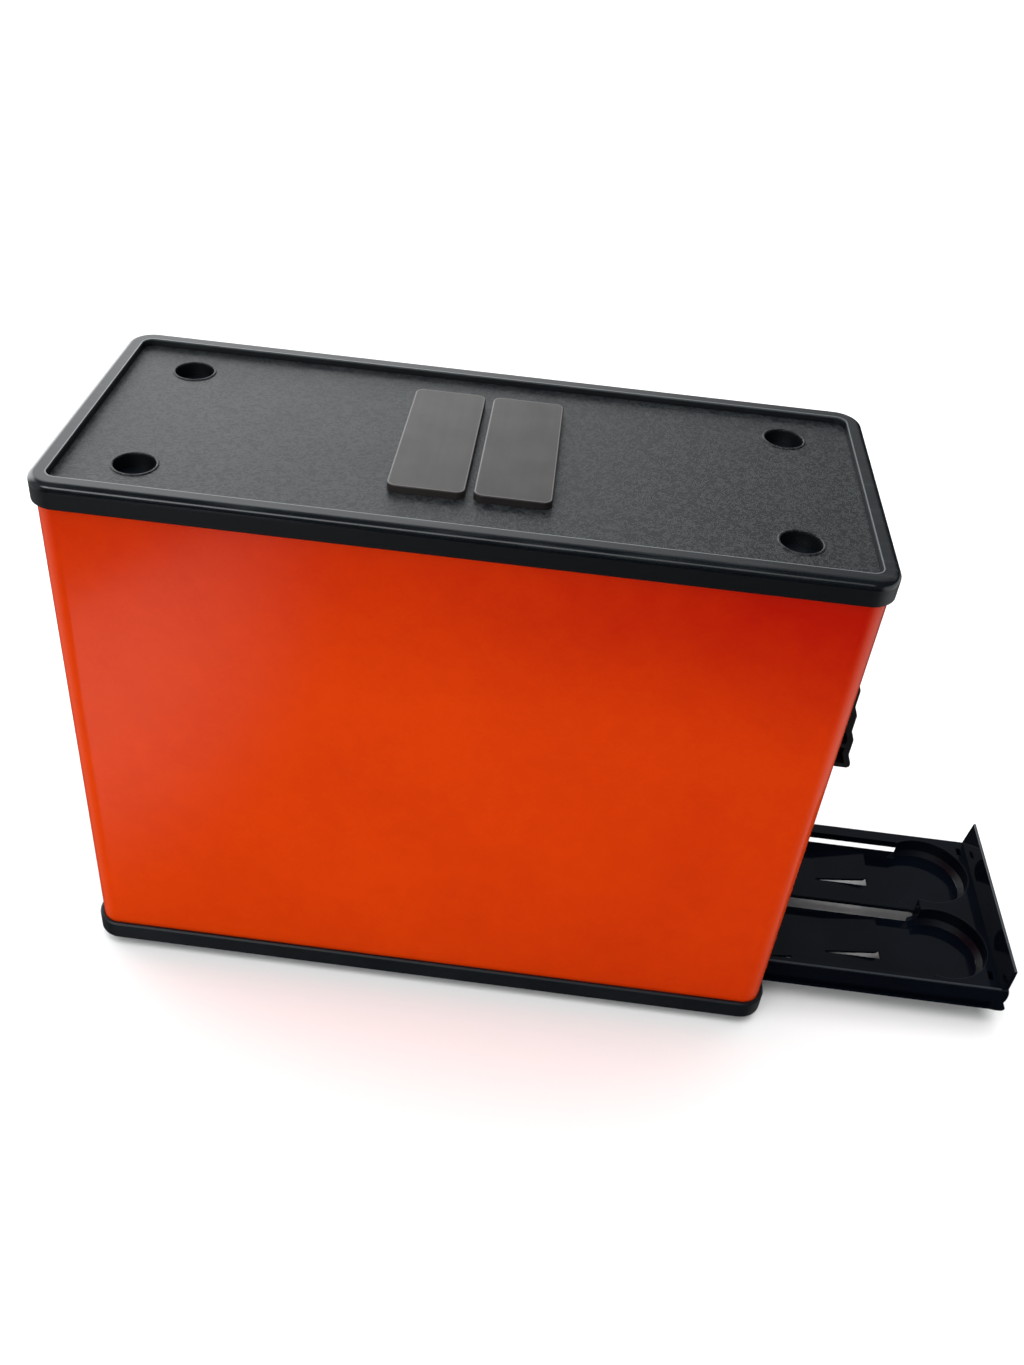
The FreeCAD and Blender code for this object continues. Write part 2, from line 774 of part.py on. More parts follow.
def grip_edges(body, z0, z1):
    """Edges that run across the grip in front of its back plate, between two heights."""
    found = []
    for edge in body.Edges:
        low = edge.BoundBox
        if low.YLength > grip_half_width and low.XMin > sleeve_x + grip_back and z0 < low.ZMax < z1:
            found.append(edge)
    return found


def front_grip():
    """Fixed moulded grip: stepped skin on a back plate, with ribs at the steps and open side pockets."""
    front = grip_line(0)
    outline = front + [(sleeve_x, grip_top), (sleeve_x, grip_bottom)]
    body = along_y(outline, -grip_half_width, grip_half_width)
    first_step = grip_bottom + grip_foot_run / 2
    body = body.makeFillet(grip_step_round, grip_edges(body, first_step, grip_top - grip_slope / 2))
    body = body.makeFillet(grip_edge, grip_edges(body, grip_bottom - overcut, first_step))
    back_x = sleeve_x + grip_back
    line = grip_line(grip_skin)
    room_bottom = grip_bottom + grip_rib
    room = [(back_x, room_bottom), (line[0][0], room_bottom)] + line[1:] + [(back_x, line[-1][1])]
    side_y = grip_half_width + overcut
    for y0, y1 in ((-side_y, -grip_core_half), (grip_core_half, side_y)):
        pocket = along_y(room, y0, y1)
        for k in range(grip_waves):
            z = grip_bottom + grip_first_rib + k * (grip_slope + grip_run)
            pocket = pocket.cut(box(sleeve_x, sleeve_x + grip_reach, y0, y1, z, z + grip_rib))
        body = body.cut(pocket)
    screw_end_x = sleeve_x + grip_screw_bite + screw_gap
    for z in grip_screw_z:
        body = body.cut(pin_x(sleeve_x - overcut, screw_end_x, 0, z, screw_hole_radius))
    return body.removeSplitter()


def runner():
    """Left runner: channel with a foot flange, a top flange for the guide and the tongue rail."""
    section = [
        (runner_y, base_floor_top),
        (runner_foot_y, base_floor_top),
        (runner_foot_y, base_floor_top + runner_flange),
        (runner_web_y, base_floor_top + runner_flange),
        (runner_web_y, guide_bottom - runner_flange),
        (inner_y, guide_bottom - runner_flange),
        (inner_y, guide_bottom),
        (runner_y, guide_bottom),
    ]
    body = along_x(section, -runner_end_x, runner_end_x)
    tongue = box(
        tongue_rear,
        runner_end_x,
        web_outer_y + slip_gap,
        runner_y,
        channel_bottom + slip_gap,
        channel_top - slip_gap,
    )
    body = body.common(slab(inner_x, inner_y, inner_radius, base_floor_top, guide_bottom)).fuse(tongue)
    flange_top = base_floor_top + runner_flange
    for x, y in runner_screw_places():
        if y > 0:
            body = body.cut(pin_z(base_floor_top - overcut, flange_top + overcut, x, y, screw_hole_radius))
    return body.removeSplitter()


def pegs(grow):
    """Flat pegs of the hopper rim on the left side, midway between ribs of the guide."""
    y = (guide_outer_y + inner_y) / 2
    half_x = peg_length / 2 + grow
    half_y = peg_width / 2 + grow
    bottom = column_top - peg_depth - grow
    return [box(x - half_x, x + half_x, y - half_y, y + half_y, bottom, column_top) for x in column_x[1::4]]


def side_guide():
    """Left column guide: tall wall with grooves for the dividers, flanges and outer ribs."""
    x0 = -runner_end_x
    x1 = runner_end_x
    wall = box(x0, x1, guide_inner_y, guide_outer_y, guide_bottom, column_top)
    parts = [wall]
    parts.append(box(x0, x1, guide_outer_y, inner_y, guide_bottom, guide_bottom + guide_flange))
    parts.append(box(x0, x1, guide_outer_y, inner_y, column_top - guide_flange, column_top))
    for x in divider_x[:-1]:
        half = guide_rib_wall / 2
        parts.append(box(x - half, x + half, guide_outer_y, inner_y, guide_bottom, column_top))
    body = fused(parts).common(slab(inner_x, inner_y, inner_radius, guide_bottom, column_top))
    half = (divider_thickness + slip_gap) / 2
    groove_y = guide_inner_y + guide_groove_depth
    for x in divider_x:
        body = body.cut(box(x - half, x + half, 0, groove_y, column_bottom, column_top + overcut))
    body = body.cut(pegs(press_gap))
    for x in rivet_places():
        body = body.cut(pin_y(0, guide_outer_y + overcut, x, spring_z, rivet_hole_radius))
    return body.removeSplitter()


def centre_divider():
    """Wall between the two rows of columns, slotted from the top where the cross walls pass."""
    x0 = -runner_end_x
    x1 = runner_end_x
    parts = [box(x0, x1, -centre_thickness / 2, centre_thickness / 2, column_bottom, column_top)]
    proud = centre_thickness / 2 + centre_rib_height
    for x in column_x:
        x_low, x_high = x - centre_rib_width / 2, x + centre_rib_width / 2
        parts.append(box(x_low, x_high, -proud, proud, column_bottom, column_top))
    body = fused(parts)
    half = (divider_thickness + slip_gap) / 2
    for x in divider_x:
        body = body.cut(box(x - half, x + half, -unit_width, unit_width, half_height, column_top + overcut))
    return body.removeSplitter()


def column_divider(x):
    """Cross wall of the columns, slotted from below over the centre wall."""
    reach = guide_inner_y + guide_groove_depth - slip_gap
    half = divider_thickness / 2
    plate = box(x - half, x + half, -reach, reach, column_bottom, column_top)
    slot_half = (centre_thickness + slip_gap) / 2
    slot = box(x - unit_width, x + unit_width, -slot_half, slot_half, column_bottom - overcut, half_height)
    return plate.cut(slot)


def hopper_rim():
    """Flat rim over the guides and the rear wall, open towards the front, with four pegs."""
    outer = slab(inner_x, inner_y, inner_radius, column_top, column_top + hopper_thickness)
    room_y = guide_inner_y
    rear_x = divider_x[-1] + divider_thickness / 2
    opening = box(rear_x, unit_length, -room_y, room_y, 0, unit_height)
    rim = outer.cut(opening)
    left_pegs = pegs(0)
    return rim.fuse(left_pegs + [other_side(peg) for peg in left_pegs]).removeSplitter()


def finger_places():
    return column_x[:-1]


def rivet_places():
    first = column_x[0] - rivet_setback
    spacing = (column_x[-2] - column_x[0]) / (rivet_count - 1)
    return [first + spacing * k for k in range(rivet_count)]


def check_spring():
    """Left check spring: a strip on the guide with leaf fingers that slope into the lane."""
    outer = guide_inner_y
    inner = guide_inner_y - spring_strip
    x0 = rivet_places()[-1] - spring_end
    x1 = finger_places()[0] - finger_root + spring_end
    parts = [box(x0, x1, inner, outer, spring_bottom, spring_bottom + spring_height)]
    for x in finger_places():
        root = x - finger_root
        tip = x - finger_tip
        outline = [
            (root, outer),
            (root, inner),
            (tip, inner - finger_reach),
            (tip, inner - finger_reach + spring_strip),
            (root + spring_strip, outer),
        ]
        parts.append(along_z(outline, spring_z - finger_height / 2, spring_z + finger_height / 2))
    body = fused(parts)
    for x in rivet_places():
        body = body.cut(pin_y(inner - overcut, outer + overcut, x, spring_z, rivet_hole_radius))
    return body


def check_rivets():
    """Rivets of both check springs, with a head inside and a formed head outside the guide."""
    inner = guide_inner_y - spring_strip
    rivets = []
    for x in rivet_places():
        head = pin_y(inner - rivet_head_height, inner, x, spring_z, rivet_head_radius)
        shank = pin_y(inner, guide_outer_y, x, spring_z, rivet_radius)
        tail = pin_y(guide_outer_y, guide_outer_y + rivet_head_height, x, spring_z, rivet_head_radius)
        rivet = fused([head, shank, tail])
        rivets.append(rivet)
        rivets.append(other_side(rivet))
    return Part.makeCompound(rivets)


def all_pieces():
    left_runner = runner()
    left_guide = side_guide()
    left_spring = check_spring()
    pieces = {
        "base": base(),
        "sleeve": sleeve(),
        "lid": lid(),
        "runner_left": left_runner,
        "runner_right": other_side(left_runner),
        "side_guide_left": left_guide,
        "side_guide_right": other_side(left_guide),
        "centre_divider": centre_divider(),
        "hopper_rim": hopper_rim(),
        "check_spring_left": left_spring,
        "check_spring_right": other_side(left_spring),
        "check_rivets": check_rivets(),
        "drawer_tray": drawer_tray(),
        "drawer_front": drawer_front(),
        "drawer_front_screws": drawer_front_screws(),
        "front_grip": front_grip(),
        "grip_screws": grip_screws(),
        "base_screws": base_screws(),
    }
    for name, (x, y) in foot_places().items():
        pieces[name] = foot(x, y)
    for number, x in enumerate(divider_x, 1):
        pieces["column_divider_%d" % number] = column_divider(x)
    return pieces


os.makedirs("parts", exist_ok=True)
for name, shape in all_pieces().items():
    shape.exportStep("parts/" + name + ".step")
    print(name, "solids", len(shape.Solids), "valid", shape.isValid(), "mm3", round(shape.Volume, 1))
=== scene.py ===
import math

import bmesh
import bpy
import numpy as np
from mathutils import Matrix, Vector


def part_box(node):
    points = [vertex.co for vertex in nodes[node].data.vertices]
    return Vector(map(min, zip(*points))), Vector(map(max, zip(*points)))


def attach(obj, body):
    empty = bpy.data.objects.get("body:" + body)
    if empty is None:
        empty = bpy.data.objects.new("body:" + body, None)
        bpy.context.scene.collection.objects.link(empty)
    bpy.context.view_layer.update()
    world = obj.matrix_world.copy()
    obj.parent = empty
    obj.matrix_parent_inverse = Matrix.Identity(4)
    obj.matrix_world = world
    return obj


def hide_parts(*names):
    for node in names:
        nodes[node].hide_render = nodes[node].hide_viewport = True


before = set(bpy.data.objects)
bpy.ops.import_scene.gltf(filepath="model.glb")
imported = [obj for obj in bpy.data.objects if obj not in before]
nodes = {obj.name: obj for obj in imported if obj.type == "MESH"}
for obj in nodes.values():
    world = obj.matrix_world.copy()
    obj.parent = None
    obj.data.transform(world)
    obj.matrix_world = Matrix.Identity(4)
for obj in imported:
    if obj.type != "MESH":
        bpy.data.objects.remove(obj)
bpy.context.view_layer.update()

mm = 0.001

# Base: the black plastic foot of the stand, with the groove that the sheet-metal sleeve stands in.
# It is one moulding in satin plastic. The runners and the tabs of the sleeve are screwed to it from below.


class Value:
    """A number, colour or vector on its way through a finish. Its operators add Math nodes."""

    def __init__(self, finish, socket):
        self.finish = finish
        self.socket = socket

    def out(self, name):
        return Value(self.finish, self.socket.node.outputs[name])

    def math(self, operation, other):
        return self.finish.math(operation, self, other)

    def __add__(self, other):
        return self.math("ADD", other)

    def __sub__(self, other):
        return self.math("SUBTRACT", other)

    def __rsub__(self, other):
        return self.finish.math("SUBTRACT", other, self)

    def __mul__(self, other):
        return self.math("MULTIPLY", other)

    def __truediv__(self, other):
        return self.math("DIVIDE", other)

    def __pow__(self, other):
        return self.math("POWER", other)

    def __abs__(self):
        return self.finish.math("ABSOLUTE", self)

    __radd__ = __add__
    __rmul__ = __mul__

    def least(self, other):
        return self.math("MINIMUM", other)

    def most(self, other):
        return self.math("MAXIMUM", other)

    def step(self, start, end):
        """0 before start, 1 after end and a smooth S between them; start may be the larger."""
        return self.finish.node(
            "ShaderNodeMapRange",
            {"interpolation_type": "SMOOTHSTEP"},
            {"Value": self, "From Min": start, "From Max": end},
        )


class Finish:
    """The nodes of one material or of the world."""

    def __init__(self, owner, kind="Object"):
        owner.use_nodes = True
        self.owner = owner
        self.tree = owner.node_tree
        self.tree.nodes.clear()
        self.place = self.node("ShaderNodeTexCoord", {}, {}).out(kind)
        split = self.node("ShaderNodeSeparateXYZ", {}, {"Vector": self.place})
        self.x, self.y, self.z = split.out("X"), split.out("Y"), split.out("Z")

    def node(self, kind, settings, sockets):
        """A node of this kind with its settings made first, then its sockets given values or links."""
        made = self.tree.nodes.new(kind)
        for name, setting in settings.items():
            setattr(made, name, setting)
        for name, given in sockets.items():
            if isinstance(name, int):
                socket = made.inputs[name]
            else:
                socket = next(s for s in made.inputs if s.name == name and s.enabled)
            if isinstance(given, Value):
                self.tree.links.new(given.socket, socket)
            elif socket.type == "RGBA":
                socket.default_value = (*given, 1)
            else:
                socket.default_value = given
        return Value(self, next((s for s in made.outputs if s.enabled), None))

    def math(self, operation, *values):
        return self.node("ShaderNodeMath", {"operation": operation}, dict(enumerate(values)))

    def mix(self, share, first, second):
        return self.node("ShaderNodeMix", {"data_type": "RGBA"}, {"Factor": share, "A": first, "B": second})

    def noise(self, size, detail=2.0, twist=0.0, stretch=(1, 1, 1)):
        """Noise from 0 to 1 about 0.5, with lumps of about this size in metres."""
        place = self.node("ShaderNodeMapping", {}, {"Vector": self.place, "Scale": stretch})
        sockets = {"Vector": place, "Scale": 1 / size, "Detail": detail, "Distortion": twist}
        return self.node("ShaderNodeTexNoise", {}, sockets)

    def bump(self, height, depth):
        return self.node("ShaderNodeBump", {}, {"Height": height, "Distance": depth})

    def surface(self, **sockets):
        """The shader itself; a socket's name is given in lower case with underlines."""
        named = {}
        for name, given in sockets.items():
            named[name.replace("_", " ").title().replace("Ior", "IOR")] = given
        shader = self.node("ShaderNodeBsdfPrincipled", {}, named)
        self.node("ShaderNodeOutputMaterial", {}, {"Surface": shader})
        return self.owner


def new_finish(name):
    return Finish(bpy.data.materials.new(name))


def moulded(name, colour, gloss, grain):
    """Moulded plastic: a fine grain of this size, faint clouds in its colour, and a few paler specks."""
    f = new_finish(name)
    clouds = f.noise(30 * mm, 4)
    fine = f.noise(grain, 3)
    speck = f.noise(1.1 * mm, 1).step(0.72, 0.78) * f.noise(11 * mm).step(0.45, 0.7)
    pale = tuple(1.6 * part + 0.004 for part in colour)
    tone = f.mix(clouds.step(0.3, 0.8) * 0.5 + speck * 0.5, colour, pale)
    rough = 0.9 * (1 - gloss) + 0.1 * clouds
    normal = f.bump(fine, 0.012 * mm)
    return f.surface(base_color=tone, roughness=rough, normal=normal, specular_ior_level=0.35)


def dress(material, *names):
    for name in names:
        for slot in nodes[name].material_slots:
            slot.material = material


blue_black = (0.004, 0.006, 0.0085)
dress(moulded("base_satin_black", blue_black, 0.62, 0.4 * mm), "base")

# Feet: four rubber discs whose stems press into the base, which holds them without glue. The rubber is matt,
# with a dusting of bloom.


def rubber():
    """Matt black rubber under a patchy grey bloom."""
    f = new_finish("foot_rubber_black")
    bloom = f.noise(6 * mm, 5).step(0.35, 0.75)
    tone = f.mix(bloom, (0.012, 0.012, 0.012), (0.028, 0.028, 0.027))
    normal = f.bump(f.noise(0.6 * mm, 4), 0.03 * mm)
    return f.surface(base_color=tone, roughness=0.78 + 0.15 * bloom, normal=normal)


foot_names = ["foot_%s_%s" % (end, side) for end in ("front", "rear") for side in ("left", "right")]
dress(rubber(), *foot_names)

# Runners: two channel sections that carry the drawer on a tongue, screwed down to the base.
# They share the dull black plastic of the column walls above them.
dull_black = (0.016, 0.017, 0.018)
inner_black = moulded("inner_dull_black", dull_black, 0.52, 0.7 * mm)
dress(inner_black, "runner_left", "runner_right")

# Sleeve: the orange body, a folded and welded tube of sheet steel with the drawer's mouth cut in one end.
# It is powder coated in a satin orange. Painted highlights brighten its folds, a thin line just under the
# lid's skirt is brighter, and painted shade deepens it towards its top and its front end.
fold_start = 7.5 * mm
fold_full = 3 * mm
skirt_height = 9.5 * mm
orange = (0.655, 0.045, 0.0006)
# Darker orange, used for painted shade and for the random clouds and mottle.
shaded_mottled_orange = (0.38, 0.006, 0.0005)
# Brighter orange for a painted highlight on the folds.
fold_highlight_orange = (0.72, 0.08, 0.02)
# Brighter orange for a thin line just under the lid's skirt.
skirt_line_orange = (0.78, 0.10, 0.01)


def orange_paint():
    """Satin orange with broad clouds, a finer mottle and the slight bump of orange peel."""
    f = new_finish("sleeve_satin_orange")
    low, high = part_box("sleeve")
    height = (f.z - low.z) / (high.z - low.z)
    clouds = f.noise(55 * mm, 5, 0.6)
    mottle = f.noise(7 * mm, 4)
    peel = f.noise(1.3 * mm, 3)
    fold_x = abs(f.x).step(high.x - fold_start, high.x - fold_full)
    fold_y = abs(f.y).step(high.y - fold_start, high.y - fold_full)
    ahead = f.x.step(-30 * mm, high.x)
    # Painted shade: darker towards the top, under the lid, and towards the front end; clouds and mottle add
    # random darker tone.
    shade_and_mottle = height.step(0.6, 1.02) * (0.47 + 0.33 * ahead) + 0.22 * ahead
    shade_and_mottle = shade_and_mottle + clouds.step(0.3, 0.8) * 0.13 + (0.6 * mottle + 0.4 * peel).step(0.3, 0.7) * 0.1
    tone = f.mix(shade_and_mottle.least(1), orange, shaded_mottled_orange)
    # Painted highlight: the folds are mixed towards a brighter, pinker orange.
    tone = f.mix(fold_x * fold_y * 0.35, tone, fold_highlight_orange)
    skirt_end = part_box("lid")[1].z - skirt_height
    # A thin brighter line on the paint just under the lid's skirt.
    skirt_line = abs(f.z - (skirt_end - 0.3 * mm)).step(0.8 * mm, 0.2 * mm)
    tone = f.mix(skirt_line * 0.3, tone, skirt_line_orange)
    rough = 0.08 + 0.03 * clouds + 0.02 * mottle
    normal = f.bump(0.75 * peel + 0.25 * mottle, 0.008 * mm)
    return f.surface(base_color=tone, roughness=rough, normal=normal, specular_ior_level=0.19)


dress(orange_paint(), "sleeve")

# Screws: zinc-plated pan-head screws with a crossed recess. Eight come up through the base, two hold the
# grip from inside the sleeve and three hold the drawer's front plate.
screw_shank = 1.2 * mm
screw_head = 2.2 * mm
screw_head_depth = 1.4 * mm
head_edge = 0.4 * mm
face_dome = 0.15 * mm
thread_pitch = 1.1 * mm
thread_share = 0.12
recess_depth = 0.9 * mm
recess_half_width = 0.34 * mm
recess_wall = 0.12 * mm
recess_end_wall = 0.25 * mm


def ring_faces(rows, columns, copies):
    """Quads of `copies` grids; in each, the rows' points run round and meet, and no two rows meet."""
    row = np.arange(rows - 1)[:, None] * columns
    column = np.arange(columns)[None, :]
    after = (column + 1) % columns
    one = np.stack([row + column, row + after, row + columns + after, row + columns + column], axis=-1)
    start = np.arange(copies)[:, None, None] * rows * columns
    return (one.reshape(1, -1, 4) + start).reshape(-1, 4)


def make_piece(name, points, faces, material, body):
    """A mesh from an array of points and one of faces, closed at its poles, with its normals outwards.

    It is smooth except along edges of more than 35 degrees.
    """
    mesh = bpy.data.meshes.new(name)
    mesh.from_pydata(points.reshape(-1, 3).tolist(), [], faces.tolist())
    whole = bmesh.new()
    whole.from_mesh(mesh)
    bmesh.ops.remove_doubles(whole, verts=whole.verts, dist=1e-7)
    bmesh.ops.holes_fill(whole, edges=whole.edges)
    bmesh.ops.recalc_face_normals(whole, faces=whole.faces)
    whole.to_mesh(mesh)
    whole.free()
    mesh.shade_smooth()
    mesh.set_sharp_from_angle(angle=math.radians(35))
    mesh.materials.append(material)
    piece = bpy.data.objects.new(name, mesh)
    bpy.context.scene.collection.objects.link(piece)
    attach(piece, body)
    return piece


def screw_points(length):
    """Points of a screw whose face looks along +Z at z = 0 and whose shank is `length` long under the head.

    The radius goes from 0 over the domed face, round the head's edge, in to the shank and down to its tip.
    The face drops by the depth of the recess inside either of two slots that cross, and fades over a short
    wall at their sides and ends. The shank's radius swings with a saw of the thread's pitch that turns once
    round per pitch, which makes the thread.
    """
    flat = screw_head - head_edge
    tip = -screw_head_depth - length
    angle = np.linspace(0, 2 * np.pi, 48, endpoint=False)
    face_r = np.linspace(0, flat, 16)
    face_z = -face_dome * (face_r / flat) ** 2
    edge_turn = np.linspace(0, np.pi / 2, 6)[1:]
    edge_r = flat + head_edge * np.sin(edge_turn)
    edge_z = -face_dome - head_edge * (1 - np.cos(edge_turn))
    shank_z = np.linspace(-screw_head_depth, tip, 60)
    taper = np.minimum((shank_z - tip) / screw_shank, 1)
    shank_r = screw_shank * (1 - thread_share + thread_share * taper)
    radius = np.concatenate([face_r, edge_r, [screw_head], shank_r, [0]])
    height = np.concatenate([face_z, edge_z, [-screw_head_depth], shank_z, [tip]])
    radius, height, angle = np.broadcast_arrays(radius[:, None], height[:, None], angle[None, :])
    saw = (height / thread_pitch - angle / (2 * np.pi)) % 1
    on_shank = (height < -screw_head_depth - 1e-6) & (radius > 0)
    radius = np.where(on_shank, radius * (1 - thread_share * np.abs(2 * saw - 1)), radius)
    x = radius * np.cos(angle)
    y = radius * np.sin(angle)

    def slot_share(along, across):
        wall = np.clip((recess_half_width - np.abs(across)) / recess_wall, 0, 1)
        end = np.clip((0.66 * screw_head - np.abs(along)) / recess_end_wall, 0, 1)
        return wall * end

    recess = np.maximum(slot_share(x, y), slot_share(y, x)) * recess_depth
    on_face = height > -face_dome - 0.05 * mm
    return np.stack([x, y, np.where(on_face, height - recess, height)], axis=-1)


def zinc():
    """Zinc plate: pale metal with a faint yellow haze."""
    f = new_finish("screw_zinc_plate")
    haze = f.noise(1.5 * mm, 4)
    tone = f.mix(haze.step(0.3, 0.75), (0.52, 0.53, 0.55), (0.66, 0.65, 0.6))
    normal = f.bump(f.noise(0.12 * mm, 2), 0.006 * mm)
    return f.surface(base_color=tone, roughness=0.24 + 0.2 * haze, metallic=0.95, normal=normal)


def make_screws(node, body, places, turn, length):
    """Screws at these face centres, each turned from +Z by the matrix turn, in place of a CAD node."""
    one = screw_points(length) @ turn.T
    points = one[None] + np.array(places)[:, None, None, :]
    faces = ring_faces(one.shape[0], one.shape[1], len(places))
    piece = make_piece(node + "_pan_head", points, faces, zinc_plate, body)
    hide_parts(node)


zinc_plate = zinc()
face_down = np.array([[1, 0, 0], [0, -1, 0], [0, 0, -1]])
face_rear = np.array([[0, 0, -1], [0, 1, 0], [1, 0, 0]])
base_screw_length = 3.9 * mm
base_screw_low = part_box("base_screws")[0].z
runner_screw = (90 * mm, 49 * mm)
tab_screw = (60 * mm, 55.5 * mm)
base_screw_places = []
for x, y in (runner_screw, tab_screw):
    base_screw_places += [(sx * x, sy * y, base_screw_low) for sx in (1, -1) for sy in (1, -1)]
make_screws("base_screws", "housing", base_screw_places, face_down, base_screw_length)

# Grip: the black handle on the front end, a moulded shell whose face climbs in four long waves.
# It is held by two of those screws from inside the sleeve, and its open sides show the ribs behind the skin.
grip_screw_length = 7.7 * mm
grip_screw_low, grip_screw_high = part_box("grip_screws")
grip_screw_heights = (grip_screw_low.z + screw_head, grip_screw_high.z - screw_head)
grip_screw_places = [(grip_screw_low.x, 0, z) for z in grip_screw_heights]
make_screws("grip_screws", "housing", grip_screw_places, face_rear, grip_screw_length)
grip_black = (0.007, 0.0085, 0.010)
dress(moulded("grip_black", grip_black, 0.72, 0.5 * mm), "front_grip")

# Columns: two side guides, a centre wall and cross walls halved together, with a rim over them all.
# They are moulded in dull black plastic and slot into each other, so the stack stands without screws.
dress(inner_black, "side_guide_left", "side_guide_right", "centre_divider", "hopper_rim")
dress(inner_black, *[name for name in nodes if name.startswith("column_divider")])

# Check springs: strips of rolled spring steel whose leaf fingers let the capsules slide forward only.
# Three aluminium rivets hold each strip to its guide.
strip_half_height = 4 * mm
rivet_shank = 1.1 * mm
rivet_head = 2 * mm
rivet_dome = 0.7 * mm
rivet_grip = 2.9 * mm
rivet_inner = 40.1 * mm
rivet_count = 3
rivet_steps = 24


def rolled_steel():
    """Bright spring steel with fine streaks along the strip."""
    f = new_finish("spring_rolled_steel")
    streaks = f.noise(1.2 * mm, 3, 0, (0.05, 1, 1))
    tone = f.mix(streaks, (0.50, 0.50, 0.49), (0.66, 0.66, 0.64))
    normal = f.bump(streaks, 0.004 * mm)
    return f.surface(base_color=tone, roughness=0.2 + 0.18 * streaks, metallic=1, normal=normal)


def rivet_points():
    """Points of a rivet along +Y from 0: a domed head, its shank and a domed tail head.

    The profile is two half domes joined by the straight shank. In each dome the radius is the head's times
    the sine of a turn from 0 to a right angle, and the bulge is the dome's height times its cosine.
    """
    turn = np.linspace(0, np.pi / 2, 7)
    head_r = rivet_head * np.sin(turn)
    bulge = rivet_dome * np.cos(turn)
    radius = np.concatenate([head_r, [rivet_shank, rivet_shank], head_r[::-1]])
    along = np.concatenate([-bulge, [0, rivet_grip], rivet_grip + bulge[::-1]])
    angle = np.linspace(0, 2 * np.pi, rivet_steps, endpoint=False)
    x = radius[:, None] * np.cos(angle)
    z = radius[:, None] * np.sin(angle)
    return np.stack([x, np.broadcast_to(along[:, None], x.shape), z], axis=-1)


def aluminium():
    """Plain aluminium with a light haze."""
    f = new_finish("rivet_aluminium_plain")
    haze = f.noise(0.8 * mm, 4)
    tone = f.mix(haze, (0.6, 0.6, 0.62), (0.8, 0.8, 0.8))
    normal = f.bump(f.noise(0.2 * mm, 2), 0.008 * mm)
    return f.surface(base_color=tone, roughness=0.28 + 0.15 * haze, metallic=1, normal=normal)


dress(rolled_steel(), "check_spring_left", "check_spring_right")
rivet_low, rivet_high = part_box("check_rivets")
strip_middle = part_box("check_spring_left")[0].z + strip_half_height
rivet_xs = np.linspace(rivet_low.x + rivet_head, rivet_high.x - rivet_head, rivet_count)
one_rivet = rivet_points()
left_places = np.array([(x, rivet_inner, strip_middle) for x in rivet_xs])
left_rivets = one_rivet[None] + left_places[:, None, None, :]
rivets = np.concatenate([left_rivets, left_rivets * (1, -1, 1)])
rivet_faces = ring_faces(one_rivet.shape[0], one_rivet.shape[1], len(rivets))
rivet_piece = make_piece("check_rivets_domed", rivets, rivet_faces, aluminium(), "housing")
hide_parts("check_rivets")

# Drawer: a glossy black tray with two keyhole lanes, spring flaps and runner grooves, and its front plate.
# Both are polished mouldings; three screws from inside the tray hold the plate.
tray_low, tray_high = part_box("drawer_tray")
lane_floor_height = 4.5 * mm
lane_z = tray_low.z + lane_floor_height
plate_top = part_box("drawer_front")[1].z
pocket_setback = 21.3 * mm
pocket_x = tray_high.x - pocket_setback
pocket_y = 21.6 * mm
pocket_radius = 19.4 * mm
ramp_inset = 1.2 * mm
polish_dark = (0.0009, 0.0016, 0.0034)
polish_pale = (0.0020, 0.0033, 0.0062)
# Pale tone for the painted highlights on the drawer's edges.
polish_glint_tone = (0.036, 0.042, 0.048)


def polished_black():
    """Polished black with lint and faint swirls, painted highlights on its edges and duller on the ramps of
    the pockets.
    """
    f = new_finish("drawer_polished_black")
    clouds = f.noise(25 * mm, 3)
    swirl = f.noise(2.5 * mm, 3, 1.5)
    lint = f.noise(0.9 * mm, 1).step(0.74, 0.79) * f.noise(9 * mm).step(0.5, 0.7)
    # Painted highlight: thin pale lines along the tray's long top edges, round the pockets' rims and along
    # the front plate's top.
    rim_glint_y = abs(abs(f.y) - (tray_high.y - 0.4 * mm)).step(0.5 * mm, 0.2 * mm)
    pocket = ((f.x - pocket_x) ** 2 + (abs(f.y) - pocket_y) ** 2) ** 0.5
    pocket_rim_glint = abs(pocket - pocket_radius).step(0.35 * mm, 0.1 * mm) * 0.25
    ramp = abs(pocket - pocket_radius + ramp_inset).step(1.6 * mm, 1.2 * mm)
    under_top = f.z.step(tray_high.z - 1.2 * mm, tray_high.z - 1.8 * mm)
    over_lane = f.z.step(lane_z + 0.1 * mm, lane_z + 0.3 * mm)
    at_top = abs(f.z - (tray_high.z - 0.3 * mm)).step(0.7 * mm, 0.4 * mm)
    plate_top_glint = f.z.step(plate_top - 0.6 * mm, plate_top - 0.3 * mm)
    drawer_glint = (rim_glint_y.most(pocket_rim_glint) * at_top * 0.7).most(plate_top_glint)
    tone = f.mix(clouds.step(0.3, 0.7) * 0.6 + lint * 0.4, polish_dark, polish_pale)
    tone = f.mix(drawer_glint, tone, polish_glint_tone)
    rough = 0.06 + 0.04 * swirl + 0.1 * lint + 0.3 * ramp * under_top * over_lane
    normal = f.bump(0.8 * clouds + 0.2 * swirl, 0.02 * mm)
    return f.surface(base_color=tone, roughness=rough, normal=normal, specular_ior_level=0.18)


dress(polished_black(), "drawer_tray", "drawer_front")
front_screw_length = 4.3 * mm
front_screw_low, front_screw_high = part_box("drawer_front_screws")
front_screw_mid = (front_screw_low.z + front_screw_high.z) / 2
front_screw_y = front_screw_high.y - screw_head
front_screw_places = [(front_screw_low.x, y, front_screw_mid) for y in (-front_screw_y, 0, front_screw_y)]
make_screws("drawer_front_screws", "drawer", front_screw_places, face_rear, front_screw_length)

